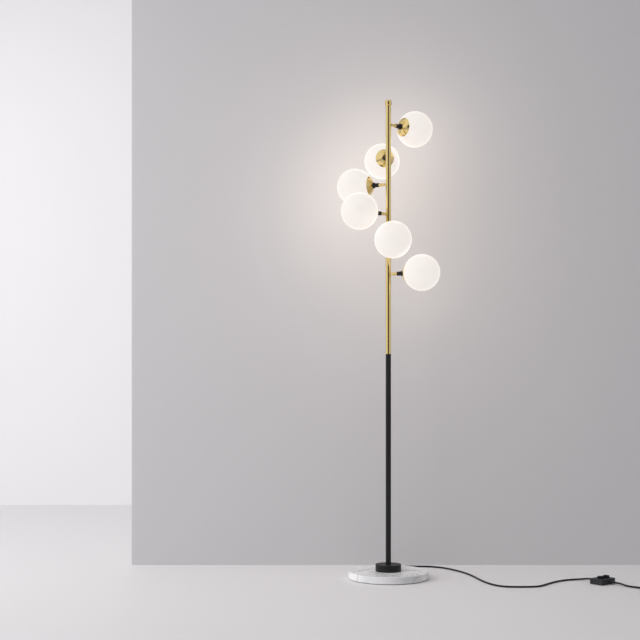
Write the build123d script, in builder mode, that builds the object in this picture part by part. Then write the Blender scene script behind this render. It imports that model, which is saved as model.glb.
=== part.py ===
from build123d import *
import os
from math import atan2, cos, pi, radians, sin, sqrt, tan

# Tree floor lamp: marble base, black and brass pole, six globe lights in a spiral, mains cord with
# a foot switch and a plug. Millimetres, +Z up, origin on the floor under the pole's axis.

os.makedirs("parts", exist_ok=True)

# ---------------------------------------------------------------- driving dimensions: base
base_diameter = 300.0
marble_thickness = 25.0
marble_edge_round = 2.0
pad_thickness = 2.5
pad_inset = 6.0
recess_diameter = 70.0
recess_depth = 13.0
groove_width = 13.0
groove_height = 12.5
collar_diameter = 97.0
collar_height = 26.0
collar_floor = 4.0
collar_edge = 1.0
washer_diameter = 60.0
washer_thickness = 3.0
nut_width = 22.0
nut_height = 5.0
tie_tube_diameter = 13.0
tie_tube_bore = 9.0
tie_tube_in_plug = 25.0
foot_plug_length = 30.0
set_screw_diameter = 4.0
set_screw_length = 12.0
set_screw_height = 40.0
set_screw_azimuth = -71.0
set_screw_socket = 2.0

# ---------------------------------------------------------------- driving dimensions: pole
pole_diameter = 20.0
pole_wall = 1.5
lower_tube_length = 812.5
coupling_ring_height = 4.5
coupling_ring_step = 0.5
coupling_spigot_length = 30.0
coupling_bore = 12.0
upper_tube_length = 931.5
finial_diameter = 26.0
finial_height = 20.0
finial_top_round = 7.0
finial_low_round = 2.5
finial_spigot_length = 12.0

# ---------------------------------------------------------------- driving dimensions: lights
light_count = 6
top_arm_below_tube_top = 71.5
arm_pitch = 112.7
first_azimuth = 38.0
azimuth_step = 59.0
neck_diameter = 8.0
neck_length = 4.0
barrel_diameter = 11.0
barrel_length = 13.5
arm_groove_diameter = 9.5
arm_groove_length = 2.5
arm_collar_diameter = 13.5
arm_collar_length = 7.0
spigot_diameter = 9.5
spigot_length = 8.0
lead_bore = 4.6
holder_diameter = 15.5
holder_body_length = 13.0
holder_cone_length = 7.0
holder_flange_diameter = 22.0
holder_flange_length = 4.0
holder_edge_round = 0.8
holder_lead_bore = 5.2
stud_diameter = 10.0
stud_length = 7.7
dish_sheet = 1.2
dish_flat_diameter = 24.0
dish_curve_radius = 81.0
dish_rim_radius = 34.3
dish_rim_clearance = 0.6
hub_diameter = 23.0
hub_length = 5.0
gallery_flange_thickness = 2.0
gallery_ring_diameter = 42.0
gallery_ring_wall = 2.0
gallery_ring_height = 9.8
glass_radius = 68.0
glass_wall = 3.0
glass_mouth_gap = 1.6
glass_neck_length = 8.2
socket_diameter = 20.0
socket_length = 16.8
bulb_base_diameter = 15.0
bulb_base_length = 10.0
bulb_diameter = 16.0
bulb_length = 32.0
bulb_tip_length = 6.0
bulb_pin_diameter = 1.5
bulb_pin_spacing = 9.0
bulb_pin_length = 8.0

# ---------------------------------------------------------------- driving dimensions: wiring
core_diameter = 2.2
core_spacing = 2.5
core_height = 5.6
core_bend = 4.0
splice_diameter = 15.0
splice_length = 43.0
splice_edge_round = 1.0
splice_gap = 3.5
lead_diameter = 3.2
lead_circle = 5.2

# ---------------------------------------------------------------- driving dimensions: cord
cord_diameter = 6.8
cord_lift = 0.1
gland_inside = 14.0
gland_outside = 30.0
gland_shoulder = 2.0
gland_neck_diameter = 10.4
gland_tip_diameter = 8.4
coil_centre_x = 947.0
coil_centre_y = -230.0
coil_outer_radius = 44.6
coil_gap = 0.6
coil_lift = 0.8
coil_half_turns_down = 4
coil_heading = -45.0
plug_length = 66.0
plug_relief_length = 22.0
plug_relief_diameter = 12.0
plug_neck_diameter = 20.0
plug_waist_diameter = 22.0
plug_waist_position = 31.7
plug_grip_diameter = 37.0
plug_grip_start = 46.2
plug_grip_end = 54.1
plug_face_diameter = 35.0
plug_edge_round = 2.0
plug_rest_gap = 0.1
plug_pin_diameter = 4.8
plug_pin_length = 19.0
plug_pin_spacing = 19.0
plug_pin_root = 8.0
plug_pin_root_diameter = 3.8
plug_pin_tip_round = 2.0

# ---------------------------------------------------------------- driving dimensions: foot switch
switch_x = 777.0
switch_y = -120.0
switch_turn = 40.0
switch_length = 80.0
switch_width = 56.0
switch_corner = 4.0
switch_wall = 2.0
switch_foot_height = 1.0
switch_foot_diameter = 9.0
switch_foot_x = 22.0
switch_foot_y = 21.0
switch_base_height = 8.0
switch_cover_height = 12.0
switch_top_edge = 1.5
pedal_length = 16.0
pedal_width = 18.0
pedal_rise = 9.0
pedal_round = 1.0
pedal_spacing = 32.0
pedal_offset = -4.0
pedal_flange_overhang = 2.0
pedal_flange_thickness = 1.5
pedal_stop_gap = 0.3
contact_block_length = 60.0
contact_block_width = 26.0
contact_block_height = 5.0
spring_outer_diameter = 8.0
spring_wall = 1.0
spring_post_height = 4.0
screw_x = 33.0
screw_y = 21.0
screw_diameter = 3.0
screw_head_diameter = 5.6
screw_head_height = 2.0
screw_boss_diameter = 7.5
screw_length = 15.0
gland_position = 10.0
switch_gland_length = 20.0
switch_gland_flange = 2.0
switch_gland_flange_diameter = 11.0
switch_gland_neck_diameter = 8.6
switch_gland_root_diameter = 10.0

# ---------------------------------------------------------------- named clearances
slip_clearance = 0.1
tie_hole_clearance = 0.5
gland_clearance = 0.25
thread_clearance = 0.05
pin_clearance = 0.02
glass_clearance = 0.5
button_clearance = 0.3

# ---------------------------------------------------------------- levels and radii that follow
base_radius = base_diameter / 2
marble_bottom = pad_thickness
marble_top = marble_bottom + marble_thickness
recess_top = marble_bottom + recess_depth
nut_top = recess_top - washer_thickness
nut_bottom = nut_top - nut_height
pole_foot = marble_top + collar_floor
tie_tube_radius = tie_tube_diameter / 2
tie_hole_radius = tie_tube_radius + tie_hole_clearance
tie_tube_top = pole_foot + tie_tube_in_plug
pole_radius = pole_diameter / 2
pole_bore_radius = pole_radius - pole_wall
plug_in_pole_radius = pole_bore_radius - slip_clearance
lower_tube_top = pole_foot + lower_tube_length
ring_top = lower_tube_top + coupling_ring_height
upper_tube_foot = ring_top
upper_tube_top = upper_tube_foot + upper_tube_length
top_arm_height = upper_tube_top - top_arm_below_tube_top

arm_heights = [top_arm_height - arm_pitch * k for k in range(light_count)]
arm_azimuths = [first_azimuth + azimuth_step * k for k in range(light_count)]

# stations along an arm, measured out from the pole's axis
neck_start = pole_bore_radius + slip_clearance
barrel_start = pole_radius + neck_length
groove_start = barrel_start + barrel_length
arm_collar_start = groove_start + arm_groove_length
holder_start = arm_collar_start + arm_collar_length
spigot_end = holder_start + spigot_length
cone_start = holder_start + holder_body_length
holder_flange_start = cone_start + holder_cone_length
dish_back = holder_flange_start + holder_flange_length
dish_front = dish_back + dish_sheet
stud_start = dish_back - stud_length
hub_end = dish_front + hub_length
gallery_floor = hub_end + gallery_flange_thickness
ring_end = gallery_floor + gallery_ring_height
socket_end = gallery_floor + socket_length
bulb_start = socket_end
capsule_start = bulb_start + bulb_base_length
capsule_end = capsule_start + bulb_length
bulb_tip = capsule_end + bulb_tip_length
glass_mouth = gallery_floor + glass_mouth_gap
glass_mouth_radius = gallery_ring_diameter / 2 + glass_clearance
glass_neck_radius = glass_mouth_radius + glass_wall
glass_neck_end = glass_mouth + glass_neck_length
glass_centre = glass_mouth + sqrt(glass_radius**2 - glass_mouth_radius**2)
glass_inner_radius = glass_radius - glass_wall


def arm_plane(k):
    """Plane of light k: x runs out along the arm, y is up, its origin is on the pole's axis."""
    azimuth = radians(arm_azimuths[k])
    return Plane(
        origin=(0, 0, arm_heights[k]),
        x_dir=(cos(azimuth), sin(azimuth), 0),
        z_dir=(sin(azimuth), -cos(azimuth), 0),
    )


def arm_axis(k):
    """The arm's centre line, from the pole's axis outwards."""
    plane = arm_plane(k)
    return Axis(plane.origin, plane.x_dir)


# ================================================================ base
with BuildPart() as foot_pad:
    with BuildSketch(Plane.XY):
        Circle(base_radius - pad_inset)
    extrude(amount=pad_thickness)

foot_pad.part.label = "foot_pad"
export_step(foot_pad.part, "parts/foot_pad.step")

with BuildPart() as marble_base:
    with BuildSketch(Plane.XY.offset(marble_bottom)):
        Circle(base_radius)
    extrude(amount=marble_thickness)
    fillet(marble_base.edges().group_by(Axis.Z)[-1], marble_edge_round)
    # recess for the nut, hole for the tie tube, groove for the cord to the back edge
    with BuildSketch(Plane.XY.offset(marble_bottom)):
        Circle(recess_diameter / 2)
    extrude(amount=recess_depth, mode=Mode.SUBTRACT)
    with BuildSketch(Plane.XY.offset(marble_bottom)):
        Circle(tie_hole_radius)
    extrude(amount=marble_thickness, mode=Mode.SUBTRACT)
    with BuildSketch(Plane.XY.offset(marble_bottom)):
        with Locations((0, base_radius / 2 + 1)):
            Rectangle(groove_width, base_radius + 2)
    extrude(amount=groove_height, mode=Mode.SUBTRACT)

marble_base.part.label = "marble_base"
export_step(marble_base.part, "parts/marble_base.step")

with BuildPart() as base_washer:
    with BuildSketch(Plane.XY.offset(nut_top)):
        Circle(washer_diameter / 2)
        Circle(tie_hole_radius, mode=Mode.SUBTRACT)
    extrude(amount=washer_thickness)

base_washer.part.label = "base_washer"
export_step(base_washer.part, "parts/base_washer.step")

with BuildPart() as base_nut:
    with BuildSketch(Plane.XY.offset(nut_bottom)):
        RegularPolygon(nut_width / 2, 6, major_radius=False)
        Circle(tie_tube_radius + thread_clearance, mode=Mode.SUBTRACT)
    extrude(amount=nut_height)

base_nut.part.label = "base_nut"
export_step(base_nut.part, "parts/base_nut.step")

with BuildPart() as tie_tube:
    with BuildSketch(Plane.XY.offset(nut_bottom)):
        Circle(tie_tube_radius)
        Circle(tie_tube_bore / 2, mode=Mode.SUBTRACT)
    extrude(amount=tie_tube_top - nut_bottom)

tie_tube.part.label = "tie_tube"
export_step(tie_tube.part, "parts/tie_tube.step")

# radial hole of the set screw, from the pole out through the drum's side
screw_angle = radians(set_screw_azimuth)
screw_plane = Plane(
    origin=(0, 0, set_screw_height),
    x_dir=(-sin(screw_angle), cos(screw_angle), 0),
    z_dir=(cos(screw_angle), sin(screw_angle), 0),
)

with BuildPart() as base_collar:
    with BuildSketch(Plane.XY.offset(marble_top)):
        Circle(collar_diameter / 2)
    extrude(amount=collar_height)
    chamfer(base_collar.edges().group_by(Axis.Z)[-1], collar_edge)
    with BuildSketch(Plane.XY.offset(pole_foot)):
        Circle(pole_radius + slip_clearance)
    extrude(amount=collar_height, mode=Mode.SUBTRACT)
    with BuildSketch(Plane.XY.offset(marble_top)):
        Circle(tie_hole_radius)
    extrude(amount=collar_height, mode=Mode.SUBTRACT)
    with BuildSketch(screw_plane):
        Circle(set_screw_diameter / 2 + slip_clearance)
    extrude(amount=collar_diameter, mode=Mode.SUBTRACT)

base_collar.part.label = "base_collar"
export_step(base_collar.part, "parts/base_collar.step")

with BuildPart() as set_screw:
    with BuildSketch(screw_plane.offset(pole_radius + thread_clearance)):
        Circle(set_screw_diameter / 2)
    extrude(amount=set_screw_length)
    with BuildSketch(screw_plane.offset(pole_radius + thread_clearance + set_screw_length)):
        RegularPolygon(set_screw_socket / 2, 6, major_radius=False)
    extrude(amount=-set_screw_socket, mode=Mode.SUBTRACT)

set_screw.part.label = "set_screw"
export_step(set_screw.part, "parts/set_screw.step")

# ================================================================ pole
with BuildPart() as pole_foot_plug:
    with BuildSketch(Plane.XY.offset(pole_foot)):
        Circle(plug_in_pole_radius)
        Circle(tie_tube_radius + thread_clearance, mode=Mode.SUBTRACT)
    extrude(amount=foot_plug_length)

pole_foot_plug.part.label = "pole_foot_plug"
export_step(pole_foot_plug.part, "parts/pole_foot_plug.step")

with BuildPart() as lower_tube:
    with BuildSketch(Plane.XY.offset(pole_foot)):
        Circle(pole_radius)
        Circle(pole_bore_radius, mode=Mode.SUBTRACT)
    extrude(amount=lower_tube_top - pole_foot)

lower_tube.part.label = "lower_tube"
export_step(lower_tube.part, "parts/lower_tube.step")

with BuildPart() as tube_coupling:
    with BuildSketch(Plane.XY.offset(lower_tube_top)):
        Circle(pole_radius + coupling_ring_step)
    extrude(amount=coupling_ring_height)
    fillet(tube_coupling.edges().filter_by(GeomType.CIRCLE), coupling_ring_step / 2)
    with BuildSketch(Plane.XY.offset(lower_tube_top - coupling_spigot_length)):
        Circle(plug_in_pole_radius)
    extrude(amount=2 * coupling_spigot_length + coupling_ring_height)
    with BuildSketch(Plane.XY.offset(lower_tube_top - coupling_spigot_length)):
        Circle(coupling_bore / 2)
    extrude(amount=2 * coupling_spigot_length + coupling_ring_height, mode=Mode.SUBTRACT)

tube_coupling.part.label = "tube_coupling"
export_step(tube_coupling.part, "parts/tube_coupling.step")

with BuildPart() as upper_tube:
    with BuildSketch(Plane.XY.offset(upper_tube_foot)):
        Circle(pole_radius)
        Circle(pole_bore_radius, mode=Mode.SUBTRACT)
    extrude(amount=upper_tube_top - upper_tube_foot)
    # one hole through one wall for the neck of each arm
    for k in range(light_count):
        with BuildSketch(Plane(origin=arm_plane(k).origin, z_dir=arm_plane(k).x_dir)):
            Circle(neck_diameter / 2 + slip_clearance)
        extrude(amount=pole_diameter, mode=Mode.SUBTRACT)

upper_tube.part.label = "upper_tube"
export_step(upper_tube.part, "parts/upper_tube.step")

with BuildPart() as finial:
    with BuildSketch(Plane.XY.offset(upper_tube_top)):
        Circle(finial_diameter / 2)
    extrude(amount=finial_height)
    fillet(finial.edges().group_by(Axis.Z)[-1], finial_top_round)
    fillet(finial.edges().group_by(Axis.Z)[0], finial_low_round)
    with BuildSketch(Plane.XY.offset(upper_tube_top)):
        Circle(plug_in_pole_radius)
    extrude(amount=-finial_spigot_length)

finial.part.label = "finial"
export_step(finial.part, "parts/finial.step")

# ================================================================ the six lights
neck_radius = neck_diameter / 2
barrel_radius = barrel_diameter / 2
holder_radius = holder_diameter / 2
holder_flange_radius = holder_flange_diameter / 2
ring_radius = gallery_ring_diameter / 2
hub_radius = hub_diameter / 2
stud_radius = stud_diameter / 2

# the dish's inner arc runs from its flat to the rim, a little off the glass, about this centre
dish_flat_radius = dish_flat_diameter / 2
dish_rim = glass_centre - sqrt(glass_radius**2 - dish_rim_radius**2) - dish_rim_clearance
chord_u = dish_rim - dish_front
chord_r = dish_rim_radius - dish_flat_radius
half_chord = sqrt(chord_u**2 + chord_r**2) / 2
to_centre = sqrt(dish_curve_radius**2 - half_chord**2)
dish_centre_u = (dish_front + dish_rim) / 2 + to_centre * chord_r / (2 * half_chord)
dish_centre_r = (dish_flat_radius + dish_rim_radius) / 2 - to_centre * chord_u / (2 * half_chord)


def on_dish_arc(radius, u=None, r=None):
    """Point on the circle of this radius about the dish's centre, at a given u or a given r."""
    if u is not None:
        return (u, dish_centre_r + sqrt(radius**2 - (dish_centre_u - u) ** 2))
    return (dish_centre_u - sqrt(radius**2 - (r - dish_centre_r) ** 2), r)


outer_curve = dish_curve_radius + dish_sheet
rim_angle = atan2(dish_rim_radius - dish_centre_r, dish_rim - dish_centre_u)
dish_inner_start = (dish_front, dish_flat_radius)
dish_inner_mid = on_dish_arc(dish_curve_radius, r=(dish_flat_radius + dish_rim_radius) / 2)
dish_inner_end = (dish_rim, dish_rim_radius)
dish_outer_start = on_dish_arc(outer_curve, u=dish_back)
dish_outer_end = (
    dish_centre_u + outer_curve * cos(rim_angle),
    dish_centre_r + outer_curve * sin(rim_angle),
)
dish_outer_mid = on_dish_arc(outer_curve, r=(dish_outer_start[1] + dish_outer_end[1]) / 2)

for k in range(light_count):
    plane, axis = arm_plane(k), arm_axis(k)
    number = k + 1

    # brass arm: neck in the pole's wall, barrel, groove, collar, and a spigot for the lampholder
    with BuildPart() as arm:
        with BuildSketch(plane):
            with BuildLine():
                Polyline(
                    (neck_start, lead_bore / 2),
                    (neck_start, neck_radius),
                    (barrel_start, neck_radius),
                    (barrel_start, barrel_radius),
                    (groove_start, barrel_radius),
                    (groove_start, arm_groove_diameter / 2),
                    (arm_collar_start, arm_groove_diameter / 2),
                    (arm_collar_start, arm_collar_diameter / 2),
                    (holder_start, arm_collar_diameter / 2),
                    (holder_start, spigot_diameter / 2),
                    (spigot_end, spigot_diameter / 2),
                    (spigot_end, lead_bore / 2),
                    close=True,
                )
            make_face()
        revolve(axis=axis)

    arm.part.label = f"arm_{number}"
    export_step(arm.part, f"parts/arm_{number}.step")

    # black lampholder shell with its flared mouth against the dish
    with BuildPart() as lamp_holder:
        with BuildSketch(plane):
            with BuildLine():
                Polyline(
                    (holder_start, spigot_diameter / 2 + slip_clearance),
                    (holder_start, holder_radius),
                    (cone_start, holder_radius),
                    (holder_flange_start, holder_flange_radius),
                    (dish_back, holder_flange_radius),
                    (dish_back, stud_radius + slip_clearance),
                    (stud_start, stud_radius + slip_clearance),
                    (stud_start, holder_lead_bore / 2),
                    (spigot_end + slip_clearance, holder_lead_bore / 2),
                    (spigot_end + slip_clearance, spigot_diameter / 2 + slip_clearance),
                    close=True,
                )
            make_face()
        revolve(axis=axis)
        rims = lamp_holder.edges().filter_by(
            lambda edge: abs(edge.radius - holder_flange_radius) < 0.01
            if edge.geom_type == GeomType.CIRCLE
            else False
        )
        fillet(rims, holder_edge_round)

    lamp_holder.part.label = f"lamp_holder_{number}"
    export_step(lamp_holder.part, f"parts/lamp_holder_{number}.step")

    # polished sheet dish, flat in the middle, with a hole for the gallery's stud
    with BuildPart() as dish:
        with BuildSketch(plane):
            with BuildLine():
                Line((dish_back, stud_radius + slip_clearance), dish_outer_start)
                ThreePointArc(dish_outer_start, dish_outer_mid, dish_outer_end)
                Line(dish_outer_end, dish_inner_end)
                ThreePointArc(dish_inner_end, dish_inner_mid, dish_inner_start)
                Line(dish_inner_start, (dish_front, stud_radius + slip_clearance))
                Line(
                    (dish_front, stud_radius + slip_clearance),
                    (dish_back, stud_radius + slip_clearance),
                )
            make_face()
        revolve(axis=axis)

    dish.part.label = f"dish_{number}"
    export_step(dish.part, f"parts/dish_{number}.step")

    # opal glass globe with a short threaded neck turned inwards at its mouth
    inner_end = glass_centre - sqrt(glass_inner_radius**2 - glass_neck_radius**2)
    with BuildPart() as globe:
        with BuildSketch(plane):
            with BuildLine():
                ThreePointArc(
                    (glass_mouth, glass_mouth_radius),
                    (glass_centre, glass_radius),
                    (glass_centre + glass_radius, 0),
                )
                Line(
                    (glass_centre + glass_radius, 0),
                    (glass_centre + glass_inner_radius, 0),
                )
                ThreePointArc(
                    (glass_centre + glass_inner_radius, 0),
                    (glass_centre, glass_inner_radius),
                    (inner_end, glass_neck_radius),
                )
                Polyline(
                    (inner_end, glass_neck_radius),
                    (glass_neck_end, glass_neck_radius),
                    (glass_neck_end, glass_mouth_radius),
                    (glass_mouth, glass_mouth_radius),
                )
            make_face()
        revolve(axis=axis)

    globe.part.label = f"globe_{number}"
    export_step(globe.part, f"parts/globe_{number}.step")

# threaded carriers: stud into the lampholder, hub and flange on the dish, ring inside the glass neck
with BuildPart() as globe_galleries:
    for k in range(light_count):
        with BuildSketch(arm_plane(k)):
            with BuildLine():
                Polyline(
                    (stud_start, holder_lead_bore / 2),
                    (stud_start, stud_radius),
                    (dish_front, stud_radius),
                    (dish_front, hub_radius),
                    (hub_end, hub_radius),
                    (hub_end, ring_radius),
                    (ring_end, ring_radius),
                    (ring_end, ring_radius - gallery_ring_wall),
                    (gallery_floor, ring_radius - gallery_ring_wall),
                    (gallery_floor, holder_lead_bore / 2),
                    close=True,
                )
            make_face()
        revolve(axis=arm_axis(k))

globe_galleries.part.label = "globe_galleries"
export_step(globe_galleries.part, "parts/globe_galleries.step")

# ceramic sockets with two holes for the bulb's pins
with BuildPart() as g9_sockets:
    for k in range(light_count):
        plane = arm_plane(k)
        face = Plane(origin=plane.origin + plane.x_dir * gallery_floor, z_dir=plane.x_dir)
        with BuildSketch(face):
            Circle(socket_diameter / 2)
        extrude(amount=socket_length)
        mouth = Plane(
            origin=plane.origin + plane.x_dir * socket_end,
            x_dir=(0, 0, 1),
            z_dir=plane.x_dir,
        )
        with BuildSketch(mouth):
            with GridLocations(0, bulb_pin_spacing, 1, 2):
                Circle(bulb_pin_diameter / 2 + slip_clearance)
        extrude(amount=-bulb_pin_length - slip_clearance, mode=Mode.SUBTRACT)

g9_sockets.part.label = "g9_sockets"
export_step(g9_sockets.part, "parts/g9_sockets.step")

with BuildPart() as led_bulbs:
    for k in range(light_count):
        plane = arm_plane(k)
        with BuildSketch(plane):
            with BuildLine():
                Polyline(
                    (bulb_start, 0),
                    (bulb_start, bulb_base_diameter / 2),
                    (capsule_start, bulb_base_diameter / 2),
                    (capsule_start, bulb_diameter / 2),
                    (capsule_end, bulb_diameter / 2),
                )
                EllipticalCenterArc(
                    (capsule_end, 0),
                    bulb_tip_length,
                    bulb_diameter / 2,
                    start_angle=0,
                    arc_size=90,
                )
                Line((bulb_tip, 0), (bulb_start, 0))
            make_face()
        revolve(axis=arm_axis(k))
        root = Plane(
            origin=plane.origin + plane.x_dir * bulb_start,
            x_dir=(0, 0, 1),
            z_dir=plane.x_dir,
        )
        with BuildSketch(root):
            with GridLocations(0, bulb_pin_spacing, 1, 2):
                Circle(bulb_pin_diameter / 2)
        extrude(amount=-bulb_pin_length)

led_bulbs.part.label = "led_bulbs"
export_step(led_bulbs.part, "parts/led_bulbs.step")

# ================================================================ wiring inside the pole
gland_axis_height = marble_bottom + groove_height / 2
gland_start = base_radius - gland_inside
gland_tip = base_radius + gland_outside
splice_foot = ring_top + coupling_spigot_length + splice_gap
splice_top = splice_foot + splice_length

with BuildPart() as supply_wires:
    for x in (-core_spacing, 0, core_spacing):
        with BuildLine() as core_path:
            FilletPolyline(
                (x, gland_start, core_height),
                (x, 0, core_height),
                (x, 0, splice_foot),
                radius=core_bend,
            )
        with BuildSketch(Plane(origin=core_path.line @ 0, z_dir=core_path.line % 0)):
            Circle(core_diameter / 2)
        sweep(path=core_path.line)

supply_wires.part.label = "supply_wires"
export_step(supply_wires.part, "parts/supply_wires.step")

with BuildPart() as wire_splice:
    with BuildSketch(Plane.XY.offset(splice_foot)):
        Circle(splice_diameter / 2)
    extrude(amount=splice_length)
    fillet(wire_splice.edges().filter_by(GeomType.CIRCLE), splice_edge_round)

wire_splice.part.label = "wire_splice"
export_step(wire_splice.part, "parts/wire_splice.step")

with BuildPart() as branch_wires:
    for k in range(light_count):
        plane = arm_plane(k)
        out = plane.x_dir
        with BuildLine() as lead_path:
            FilletPolyline(
                out * lead_circle + Vector(0, 0, splice_top),
                out * lead_circle + Vector(0, 0, arm_heights[k]),
                out * gallery_floor + Vector(0, 0, arm_heights[k]),
                radius=core_bend,
            )
        with BuildSketch(Plane(origin=lead_path.line @ 0, z_dir=lead_path.line % 0)):
            Circle(lead_diameter / 2)
        sweep(path=lead_path.line)

branch_wires.part.label = "branch_wires"
export_step(branch_wires.part, "parts/branch_wires.step")

# ================================================================ cord gland in the base's back edge
with BuildPart() as cord_gland:
    gland_plane = Plane(origin=(0, 0, gland_axis_height), x_dir=(0, 1, 0), z_dir=(1, 0, 0))
    gland_radius = groove_height / 2 - gland_clearance
    with BuildSketch(gland_plane):
        with BuildLine():
            Polyline(
                (gland_start, 0),
                (gland_start, gland_radius),
                (base_radius + gland_shoulder, gland_radius),
                (base_radius + gland_shoulder, gland_neck_diameter / 2),
                (gland_tip, gland_tip_diameter / 2),
                (gland_tip, 0),
                close=True,
            )
        make_face()
    revolve(axis=Axis((0, 0, gland_axis_height), (0, 1, 0)))

cord_gland.part.label = "cord_gland"
export_step(cord_gland.part, "parts/cord_gland.step")

# ================================================================ foot switch
switch_plane = Plane(
    origin=(switch_x, switch_y, 0),
    x_dir=(cos(radians(switch_turn)), sin(radians(switch_turn)), 0),
    z_dir=(0, 0, 1),
)
switch_floor = switch_foot_height
switch_split = switch_floor + switch_base_height
switch_top = switch_split + switch_cover_height
cover_ceiling = switch_top - switch_wall
pedal_top = switch_top + pedal_rise
pedal_flange_top = cover_ceiling - pedal_stop_gap
pedal_flange_bottom = pedal_flange_top - pedal_flange_thickness
inside_floor = switch_floor + switch_wall
contact_top = inside_floor + contact_block_height
gland_hole_radius = switch_gland_neck_diameter / 2 + slip_clearance
gland_end = switch_width / 2 + switch_gland_length
pedal_places = [(-pedal_spacing / 2, pedal_offset), (pedal_spacing / 2, pedal_offset)]


def switch_level(height):
    """The switch's own plane at a height above the floor: x along the box, y across it."""
    return switch_plane.offset(height)


def across_plane(sign):
    """Plane at the switch's side wall: x runs out of the wall along the gland, y is up."""
    out = switch_plane.y_dir * sign
    origin = switch_plane.origin + switch_plane.x_dir * gland_position + Vector(0, 0, switch_split)
    return Plane(origin=origin, x_dir=out, z_dir=out.cross(Vector(0, 0, 1)))


with BuildPart() as switch_feet:
    with BuildSketch(switch_level(0)):
        with GridLocations(2 * switch_foot_x, 2 * switch_foot_y, 2, 2):
            Circle(switch_foot_diameter / 2)
    extrude(amount=switch_foot_height)

switch_feet.part.label = "switch_feet"
export_step(switch_feet.part, "parts/switch_feet.step")

with BuildPart() as switch_base:
    with BuildSketch(switch_level(switch_floor)):
        RectangleRounded(switch_length, switch_width, switch_corner)
    extrude(amount=switch_base_height)
    with BuildSketch(switch_level(inside_floor)):
        RectangleRounded(
            switch_length - 2 * switch_wall,
            switch_width - 2 * switch_wall,
            switch_corner - switch_wall,
        )
        with GridLocations(2 * screw_x, 2 * screw_y, 2, 2):
            Circle(screw_boss_diameter / 2, mode=Mode.SUBTRACT)
    extrude(amount=switch_base_height, mode=Mode.SUBTRACT)
    with BuildSketch(switch_level(switch_floor)):
        with GridLocations(2 * screw_x, 2 * screw_y, 2, 2):
            Circle(screw_diameter / 2 + slip_clearance)
    extrude(amount=switch_base_height, mode=Mode.SUBTRACT)
    with BuildSketch(switch_level(switch_floor)):
        with GridLocations(2 * screw_x, 2 * screw_y, 2, 2):
            Circle(screw_head_diameter / 2 + slip_clearance)
    extrude(amount=screw_head_height, mode=Mode.SUBTRACT)
    # the lower half of each gland's hole
    with BuildSketch(Plane(origin=across_plane(1).origin, z_dir=switch_plane.y_dir)):
        Circle(gland_hole_radius)
    extrude(amount=switch_width, both=True, mode=Mode.SUBTRACT)

switch_base.part.label = "switch_base"
export_step(switch_base.part, "parts/switch_base.step")

with BuildPart() as switch_cover:
    with BuildSketch(switch_level(switch_split)):
        RectangleRounded(switch_length, switch_width, switch_corner)
    extrude(amount=switch_cover_height)
    chamfer(switch_cover.edges().group_by(Axis.Z)[-1], switch_top_edge)
    with BuildSketch(switch_level(switch_split)):
        RectangleRounded(
            switch_length - 2 * switch_wall,
            switch_width - 2 * switch_wall,
            switch_corner - switch_wall,
        )
        with GridLocations(2 * screw_x, 2 * screw_y, 2, 2):
            Circle(screw_boss_diameter / 2, mode=Mode.SUBTRACT)
    extrude(amount=switch_cover_height - switch_wall, mode=Mode.SUBTRACT)
    with BuildSketch(switch_level(switch_split)):
        with GridLocations(2 * screw_x, 2 * screw_y, 2, 2):
            Circle(screw_diameter / 2 + thread_clearance)
    extrude(amount=switch_cover_height - 2 * switch_wall, mode=Mode.SUBTRACT)
    with BuildSketch(switch_level(cover_ceiling)):
        with Locations(*pedal_places):
            Rectangle(pedal_length + 2 * button_clearance, pedal_width + 2 * button_clearance)
    extrude(amount=switch_wall, mode=Mode.SUBTRACT)
    # the upper half of each gland's hole
    with BuildSketch(Plane(origin=across_plane(1).origin, z_dir=switch_plane.y_dir)):
        Circle(gland_hole_radius)
    extrude(amount=switch_width, both=True, mode=Mode.SUBTRACT)

switch_cover.part.label = "switch_cover"
export_step(switch_cover.part, "parts/switch_cover.step")

with BuildPart() as switch_contacts:
    with BuildSketch(switch_level(inside_floor)):
        with Locations((0, pedal_offset)):
            Rectangle(contact_block_length, contact_block_width)
    extrude(amount=contact_block_height)
    # a post under each button keeps its spring in place
    with BuildSketch(switch_level(contact_top)):
        with Locations(*pedal_places):
            Circle(spring_outer_diameter / 2 - spring_wall - button_clearance)
    extrude(amount=spring_post_height)

switch_contacts.part.label = "switch_contacts"
export_step(switch_contacts.part, "parts/switch_contacts.step")

for number, place in enumerate(pedal_places, start=1):
    with BuildPart() as switch_pedal:
        with BuildSketch(switch_level(pedal_flange_bottom)):
            with Locations(place):
                Rectangle(
                    pedal_length + 2 * pedal_flange_overhang,
                    pedal_width + 2 * pedal_flange_overhang,
                )
        extrude(amount=pedal_flange_thickness)
        with BuildSketch(switch_level(pedal_flange_top)):
            with Locations(place):
                Rectangle(pedal_length, pedal_width)
        extrude(amount=pedal_top - pedal_flange_top)
        fillet(switch_pedal.edges().group_by(Axis.Z)[-1], pedal_round)

    switch_pedal.part.label = f"switch_pedal_{number}"
    export_step(switch_pedal.part, f"parts/switch_pedal_{number}.step")

    with BuildPart() as pedal_spring:
        with BuildSketch(switch_level(contact_top)):
            with Locations(place):
                Circle(spring_outer_diameter / 2)
                Circle(spring_outer_diameter / 2 - spring_wall, mode=Mode.SUBTRACT)
        extrude(amount=pedal_flange_bottom - contact_top)

    pedal_spring.part.label = f"pedal_spring_{number}"
    export_step(pedal_spring.part, f"parts/pedal_spring_{number}.step")

with BuildPart() as switch_screws:
    with BuildSketch(switch_level(switch_floor)):
        with GridLocations(2 * screw_x, 2 * screw_y, 2, 2):
            Circle(screw_head_diameter / 2)
    extrude(amount=screw_head_height)
    with BuildSketch(switch_level(switch_floor)):
        with GridLocations(2 * screw_x, 2 * screw_y, 2, 2):
            Circle(screw_diameter / 2)
    extrude(amount=screw_length)

switch_screws.part.label = "switch_screws"
export_step(switch_screws.part, "parts/switch_screws.step")

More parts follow.
